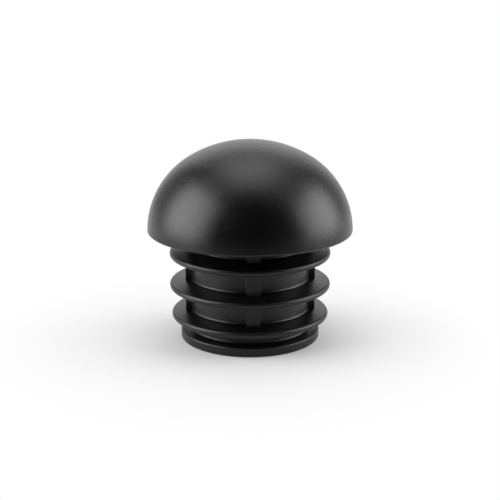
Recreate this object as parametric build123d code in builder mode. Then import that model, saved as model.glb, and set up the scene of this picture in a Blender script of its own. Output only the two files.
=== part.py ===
from build123d import *
from math import atan2, degrees, radians, tan
import os

# Domed end cap for a round steel tube, moulded in one piece of black polyethylene. The head
# covers the tube's cut end. The stem pushes into the bore, where its round fins bend a little
# and grip the wall. The origin is on the axis at the foot of the stem, +Z is up through the
# crown, and all sizes are in millimetres.

# The tube that the cap closes
tube_diameter = 33.7
tube_wall = 3.2
tube_bore = tube_diameter - 2 * tube_wall

# Domed head: a crown arc and a shoulder arc that meet tangent
head_overhang = 1.15            # beyond the tube's outside, all round
head_radius = tube_diameter / 2 + head_overhang
head_height = 15.85
shoulder_radius = 15.0
rim_fillet = 0.35

# Stem: a hollow core that ends in a plain ring
stem_length = 19.4              # from the foot to the head's flat underside
core_radius = 10.25
ring_radius = 12.25
ring_height = 1.75
ring_fillet = 0.3
foot_fillet = 0.45
root_fillet = 0.4               # where the core meets the head, the fins and the ring

# Fins, from the lead-in fin up. Each is a disc with a nearly upright rim, and its top face
# rises to the core, more so on the upper fins.
fin_squeeze = 0.5               # how far a full fin is larger than the bore, on the radius
fin_radius = tube_bore / 2 + fin_squeeze
lead_in_radius = fin_radius - 0.33
fins = [                        # (radius, height of the rim's middle, top slope in degrees)
    (lead_in_radius, 4.40, 6.0),
    (fin_radius, 9.74, 8.5),
    (fin_radius, 15.40, 11.5),
]
fin_rim_thickness = 1.05
fin_rim_fillet = 0.52
fin_draft = 1.0                 # slope of the underside, in degrees

# Ribs that tie the head and the fins together
rib_count = 4
rib_width = 2.3
rib_radius = 11.4
rib_edge_fillet = 0.35
rib_corner_fillet = 0.2

# Hollow inside the stem, drafted to leave its core pin
bore_mouth_radius = 8.6
bore_draft = 1.0
crown_wall = 3.0
bore_end_fillet = 3.5
mouth_chamfer = 0.4

total_height = stem_length + head_height

# The shoulder arc is centred at seat height, so it meets the rim upright. The crown arc is
# centred on the axis: its radius follows from touching the shoulder arc from outside.
shoulder_offset = head_radius - shoulder_radius
crown_radius = (head_height**2 + shoulder_offset**2 - shoulder_radius**2) / (
    2 * (head_height - shoulder_radius)
)
crown_centre = total_height - crown_radius
tangent_angle = degrees(atan2(stem_length - crown_centre, shoulder_offset))

# Where the half section is rounded, as (radius of the corners, fillet)
corner_fillets = [
    (core_radius, root_fillet),
    (lead_in_radius, fin_rim_fillet),
    (fin_radius, fin_rim_fillet),
    (head_radius, rim_fillet),
]

with BuildPart() as tube_end_cap:
    # Outside of the head, core, fins and ring, as one half section turned about the axis
    with BuildSketch(Plane.XZ) as half_section:
        with BuildLine():
            shoulder = CenterArc((shoulder_offset, stem_length), shoulder_radius, 0, tangent_angle)
            crown = CenterArc((0, crown_centre), crown_radius, tangent_angle, 90 - tangent_angle)
            Polyline(crown @ 1, (0, stem_length), shoulder @ 0)
        make_face()
        Rectangle(core_radius, stem_length, align=(Align.MIN, Align.MIN))
        Rectangle(ring_radius, ring_height, align=(Align.MIN, Align.MIN))
        for radius, height, top_slope in fins:
            bottom = height - fin_rim_thickness / 2
            top = height + fin_rim_thickness / 2
            with BuildLine():
                Polyline(
                    (0, bottom - radius * tan(radians(fin_draft))),
                    (radius, bottom),
                    (radius, top),
                    (0, top + radius * tan(radians(top_slope))),
                    close=True,
                )
            make_face()
        for corner_radius, fillet_radius in corner_fillets:
            corners = half_section.vertices().filter_by_position(
                Axis.X, corner_radius - 0.01, corner_radius + 0.01
            )
            fillet(corners, fillet_radius)
        foot_corner = half_section.vertices().group_by(Axis.Y)[0].sort_by(Axis.X)[-1]
        fillet(foot_corner, foot_fillet)
        ring_top_corner = half_section.vertices().sort_by_distance((ring_radius, ring_height))[0]
        fillet(ring_top_corner, ring_fillet)
    revolve(axis=Axis.Z)

    # Ribs in the gaps above the lead-in fin, drawn with the core as one cross section
    lowest_rib_height = fins[0][1]
    with BuildSketch(Plane.XY.offset(lowest_rib_height)) as ribbed_section:
        Circle(core_radius)
        with PolarLocations(0, rib_count):
            Rectangle(rib_radius, rib_width, align=(Align.MIN, Align.CENTER))
        rib_vertices = ribbed_section.vertices().sort_by(SortBy.DISTANCE)
        fillet(rib_vertices[: 2 * rib_count], rib_corner_fillet)
        fillet(rib_vertices[2 * rib_count :], rib_edge_fillet)
    extrude(amount=stem_length - lowest_rib_height)

    # Hollow core: a drafted bore whose end runs parallel to the crown
    with BuildSketch(Plane.XZ) as bore_section:
        with BuildLine():
            Polyline(
                (0, 0),
                (bore_mouth_radius, 0),
                (bore_mouth_radius - total_height * tan(radians(bore_draft)), total_height),
                (0, total_height),
                close=True,
            )
        make_face()
        with Locations((0, crown_centre)):
            Circle(crown_radius - crown_wall, mode=Mode.INTERSECT)
        end_corner = bore_section.vertices().filter_by(lambda v: v.X > 1).sort_by(Axis.Y)[-1]
        fillet(end_corner, bore_end_fillet)
        chamfer(bore_section.vertices().sort_by(Axis.X)[-1], mouth_chamfer)
    revolve(axis=Axis.Z, mode=Mode.SUBTRACT)

tube_end_cap.part.label = "tube_end_cap"
os.makedirs("parts", exist_ok=True)
export_step(tube_end_cap.part, "parts/tube_end_cap.step")
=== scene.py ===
"""Studio picture of the tube end cap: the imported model, finished as black moulded polyethylene.

Lengths are in metres, in the model's own frame, and angles in degrees. The cap stands on the
floor at z = 0 with its axis on +Z, and the camera looks along +Y from slightly to the left.
"""

from math import cos, pi, radians, sin

import bpy
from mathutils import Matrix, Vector

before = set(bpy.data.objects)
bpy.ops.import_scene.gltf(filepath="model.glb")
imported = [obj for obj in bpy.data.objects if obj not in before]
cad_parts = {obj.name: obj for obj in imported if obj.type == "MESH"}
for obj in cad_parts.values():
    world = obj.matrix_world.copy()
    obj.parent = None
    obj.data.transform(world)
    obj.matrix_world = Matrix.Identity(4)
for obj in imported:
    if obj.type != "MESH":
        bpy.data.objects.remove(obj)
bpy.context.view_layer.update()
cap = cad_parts["tube_end_cap"]

# Camera, placed from a point on the cap's axis
camera_azimuth = -3.2
camera_elevation = 15.48
camera_distance = 0.2379
camera_target = Vector((0, 0, 0.01572))
camera_lens = 97.2                      # in mm, as is the sensor's width
camera_sensor = 36

# Plastic: black polyethylene
plastic_dark = (0.0008, 0.0008, 0.0009, 1)
plastic_pale = (0.0018, 0.0018, 0.0019, 1)
plastic_ior = 1.40
clouds_noise = {"Scale": 260.0, "Detail": 4.0, "Roughness": 0.55}       # about 4 mm across
clouds_colour_range = (0.30, 0.70)      # values of the noise between which the colour changes
clouds_roughness = 0.06                 # what the clouds add to the roughness at most
head_roughness = 0.24
stem_roughness = 0.33                   # the stem is a little duller than the head
head_underside = 0.0194                 # height at which the one finish meets the other
finish_change = 0.0002                  # height over which it does so
grain_noise = {"Scale": 6500.0, "Detail": 1.0, "Roughness": 0.6}        # about 0.15 mm across
grain_bump = {"Strength": 0.25, "Distance": 0.00014}

# Softboxes: name, (azimuth, elevation), (width, height), and radiance, where 1 is white
softbox_distance = 0.5
softboxes = [
    ("top", (178, 80), (0.30, 0.34), 1.8),
    ("back", (180, 32), (0.36, 0.20), 0.4),
    ("left", (-83, 22), (0.46, 0.53), 5.3),
    ("right", (88, 17), (0.41, 0.43), 4.7),
]
world_level = 0.4                       # what dull surfaces get from all round

# Standing cards that the cap mirrors: name, azimuth, distance, width, height and grey
front_card_distance = 0.45
cards = [
    ("front_card", 0, front_card_distance, 1.40, 1.00, 0.04),
    ("left_card", -138, 0.60, 0.34, 0.85, 0.50),
    ("right_card", 132, 0.60, 0.28, 0.80, 0.50),
]

# A card that lies from just below the picture to the front card
lying_card_start = 0.067
lying_card_width = 0.30
lying_card_grey = 0.15
lying_card_lift = 0.001

# Floor, matt at the cap's foot and fading to plain white with the distance from a point there.
# The white reaches into the cap's shadow and paints it paler, more on its right side, as the
# point is set off to the front left of the foot.
floor_half_size = 6.0
floor_grey = 0.69
# Centre of the fade, set off to the front left of the foot: painted light that makes the cap's
# shadow paler on its right side
white_fade_and_painted_shadow_centre = (-0.003, -0.003, 0)
white_start = 0.0
white_end = 0.049


def from_cap(azimuth, elevation, distance):
    """A place by its direction from the cap's foot: azimuth 0 is -Y, and 90 is +X."""
    a, e = radians(azimuth), radians(elevation)
    return distance * Vector((sin(a) * cos(e), -cos(a) * cos(e), sin(e)))


def plain_grey(level):
    return (level, level, level, 1)


def add_node(tree, kind, **inputs):
    """A new shader node, with the inputs named by their sockets set to plain values."""
    node = tree.nodes.new(kind)
    for name, value in inputs.items():
        node.inputs[name.replace("_", " ")].default_value = value
    return node


def add_math(tree, operation, *values):
    """The result of an operation on sockets and plain numbers."""
    node = tree.nodes.new("ShaderNodeMath")
    node.operation = operation
    for socket, value in zip(node.inputs, values):
        if isinstance(value, bpy.types.NodeSocket):
            tree.links.new(value, socket)
        else:
            socket.default_value = value
    return node.outputs["Value"]


def mix_shaders(tree, share, first, second):
    """The first shader, with the stated share of the second in its place."""
    mix = add_node(tree, "ShaderNodeMixShader")
    tree.links.new(share, mix.inputs["Fac"])
    tree.links.new(first, mix.inputs[1])
    tree.links.new(second, mix.inputs[2])
    return mix.outputs["Shader"]


def add_output(tree, kind, shader):
    output = add_node(tree, kind)
    tree.links.new(shader, output.inputs["Surface"])


def new_material(name):
    material = bpy.data.materials.new(name)
    material.use_nodes = True
    material.node_tree.nodes.clear()
    return material, material.node_tree


def moulded_plastic():
    """Black polyethylene: slow clouds in colour and gloss, and the fine grain of the mould."""
    material, tree = new_material("black_polyethylene")
    link = tree.links.new
    place = add_node(tree, "ShaderNodeTexCoord").outputs["Object"]

    clouds = add_node(tree, "ShaderNodeTexNoise", **clouds_noise)
    link(place, clouds.inputs["Vector"])
    colour = add_node(tree, "ShaderNodeValToRGB")
    stops = zip(colour.color_ramp.elements, clouds_colour_range, (plastic_dark, plastic_pale))
    for stop, position, shade in stops:
        stop.position = position
        stop.color = shade
    link(clouds.outputs["Fac"], colour.inputs["Fac"])

    axes = add_node(tree, "ShaderNodeSeparateXYZ")
    link(place, axes.inputs["Vector"])
    finish = add_node(
        tree, "ShaderNodeMapRange", From_Min=head_underside - finish_change,
        From_Max=head_underside, To_Min=stem_roughness, To_Max=head_roughness,
    )
    link(axes.outputs["Z"], finish.inputs["Value"])
    roughness = add_math(
        tree, "MULTIPLY_ADD", clouds.outputs["Fac"], clouds_roughness, finish.outputs["Result"],
    )

    grain = add_node(tree, "ShaderNodeTexNoise", **grain_noise)
    link(place, grain.inputs["Vector"])
    bump = add_node(tree, "ShaderNodeBump", **grain_bump)
    link(grain.outputs["Fac"], bump.inputs["Height"])

    shader = add_node(tree, "ShaderNodeBsdfPrincipled", IOR=plastic_ior)
    link(colour.outputs["Color"], shader.inputs["Base Color"])
    link(roughness, shader.inputs["Roughness"])
    link(bump.outputs["Normal"], shader.inputs["Normal"])
    add_output(tree, "ShaderNodeOutputMaterial", shader.outputs["BSDF"])
    return material


def background_rays(tree):
    """1 on rays from the camera and from mirroring or clear surfaces, and 0 on all others."""
    path = add_node(tree, "ShaderNodeLightPath")
    mirrored = add_math(
        tree, "MAXIMUM", path.outputs["Is Glossy Ray"], path.outputs["Is Transmission Ray"],
    )
    return add_math(tree, "MAXIMUM", path.outputs["Is Camera Ray"], mirrored)


def floor_material():
    """Pale and matt, and away from the cap plain white to the camera and in mirrors, which also
    paints the cap's shadow paler.
    """
    material, tree = new_material("pale_floor")
    link = tree.links.new
    place = add_node(tree, "ShaderNodeTexCoord").outputs["Object"]
    distance = add_node(tree, "ShaderNodeVectorMath")
    distance.operation = "DISTANCE"
    distance.inputs[1].default_value = white_fade_and_painted_shadow_centre
    link(place, distance.inputs[0])
    fade = add_node(tree, "ShaderNodeMapRange", From_Min=white_start, From_Max=white_end)
    fade.interpolation_type = "SMOOTHSTEP"
    link(distance.outputs["Value"], fade.inputs["Value"])
    # The white share lifts the cap's shadow too: painted light, stronger on the right side
    share = add_math(tree, "MULTIPLY", fade.outputs["Result"], background_rays(tree))
    matt = add_node(tree, "ShaderNodeBsdfDiffuse", Color=plain_grey(floor_grey))
    white = add_node(tree, "ShaderNodeEmission", Color=plain_grey(1), Strength=1.0)
    shown = mix_shaders(tree, share, matt.outputs["BSDF"], white.outputs["Emission"])
    add_output(tree, "ShaderNodeOutputMaterial", shown)
    # Sampled as a lamp, the white couldn't tell that it is being mirrored
    material.cycles.emission_sampling = "NONE"
    return material


def card_material(grey):
    material, tree = new_material("card")
    matt = add_node(tree, "ShaderNodeBsdfDiffuse", Color=plain_grey(grey))
    add_output(tree, "ShaderNodeOutputMaterial", matt.outputs["BSDF"])
    return material


def make_sheet(name, corners, material):
    """A flat sheet of the studio, which isn't part of the object."""
    mesh = bpy.data.meshes.new(name)
    mesh.from_pydata(corners, [], [(0, 1, 2, 3)])
    mesh.materials.append(material)
    sheet = bpy.data.objects.new(name, mesh)
    bpy.context.scene.collection.objects.link(sheet)
    return sheet


def make_floor():
    s = floor_half_size
    make_sheet("floor", [(-s, -s, 0), (s, -s, 0), (s, s, 0), (-s, s, 0)], floor_material())


def make_card(name, corners, grey):
    """A card that shows only in reflections, so that it dims no light and hides no floor."""
    card = make_sheet(name, corners, card_material(grey))
    card.visible_camera = False
    card.visible_diffuse = False
    card.visible_shadow = False


def make_cards():
    for name, azimuth, distance, width, height, grey in cards:
        foot = from_cap(azimuth, 0, distance)
        aside = from_cap(azimuth + 90, 0, width / 2)
        up = Vector((0, 0, height))
        make_card(name, [foot - aside, foot + aside, foot + aside + up, foot - aside + up], grey)
    near = from_cap(0, 0, lying_card_start)
    far = from_cap(0, 0, front_card_distance)
    aside = from_cap(90, 0, lying_card_width / 2)
    lift = Vector((0, 0, lying_card_lift))
    lying = [corner + lift for corner in (far - aside, far + aside, near + aside, near - aside)]
    make_card("lying_card", lying, lying_card_grey)


def make_world():
    """Plain white to the camera and in mirrors, and a plain grey level for dull surfaces."""
    world = bpy.data.worlds.new("studio")
    bpy.context.scene.world = world
    world.use_nodes = True
    tree = world.node_tree
    tree.nodes.clear()
    around = add_node(tree, "ShaderNodeBackground", Color=plain_grey(1), Strength=world_level)
    white = add_node(tree, "ShaderNodeBackground", Color=plain_grey(1), Strength=1.0)
    shown = mix_shaders(
        tree, background_rays(tree), around.outputs["Background"], white.outputs["Background"],
    )
    add_output(tree, "ShaderNodeOutputWorld", shown)
    # As with the floor, the white isn't sampled as a lamp
    world.cycles.sampling_method = "NONE"


def make_softboxes():
    for name, (azimuth, elevation), (width, height), radiance in softboxes:
        light = bpy.data.lights.new(name, "AREA")
        light.shape = "RECTANGLE"
        light.size = width
        light.size_y = height
        light.energy = radiance * pi * width * height
        softbox = bpy.data.objects.new(name, light)
        softbox.location = from_cap(azimuth, elevation, softbox_distance)
        aim = camera_target - softbox.location
        softbox.rotation_euler = aim.to_track_quat("-Z", "Y").to_euler()
        softbox.visible_camera = False
        bpy.context.scene.collection.objects.link(softbox)


def make_camera():
    lens = bpy.data.cameras.new("camera")
    lens.sensor_width = camera_sensor
    lens.lens = camera_lens
    camera = bpy.data.objects.new("camera", lens)
    away = from_cap(camera_azimuth, camera_elevation, 1)
    camera.location = camera_target + away * camera_distance
    camera.rotation_euler = (-away).to_track_quat("-Z", "Y").to_euler()
    bpy.context.scene.collection.objects.link(camera)
    bpy.context.scene.camera = camera


cap.data.materials.clear()
cap.data.materials.append(moulded_plastic())
make_floor()
make_cards()
make_world()
make_softboxes()
make_camera()
bpy.context.scene.view_settings.view_transform = "Standard"
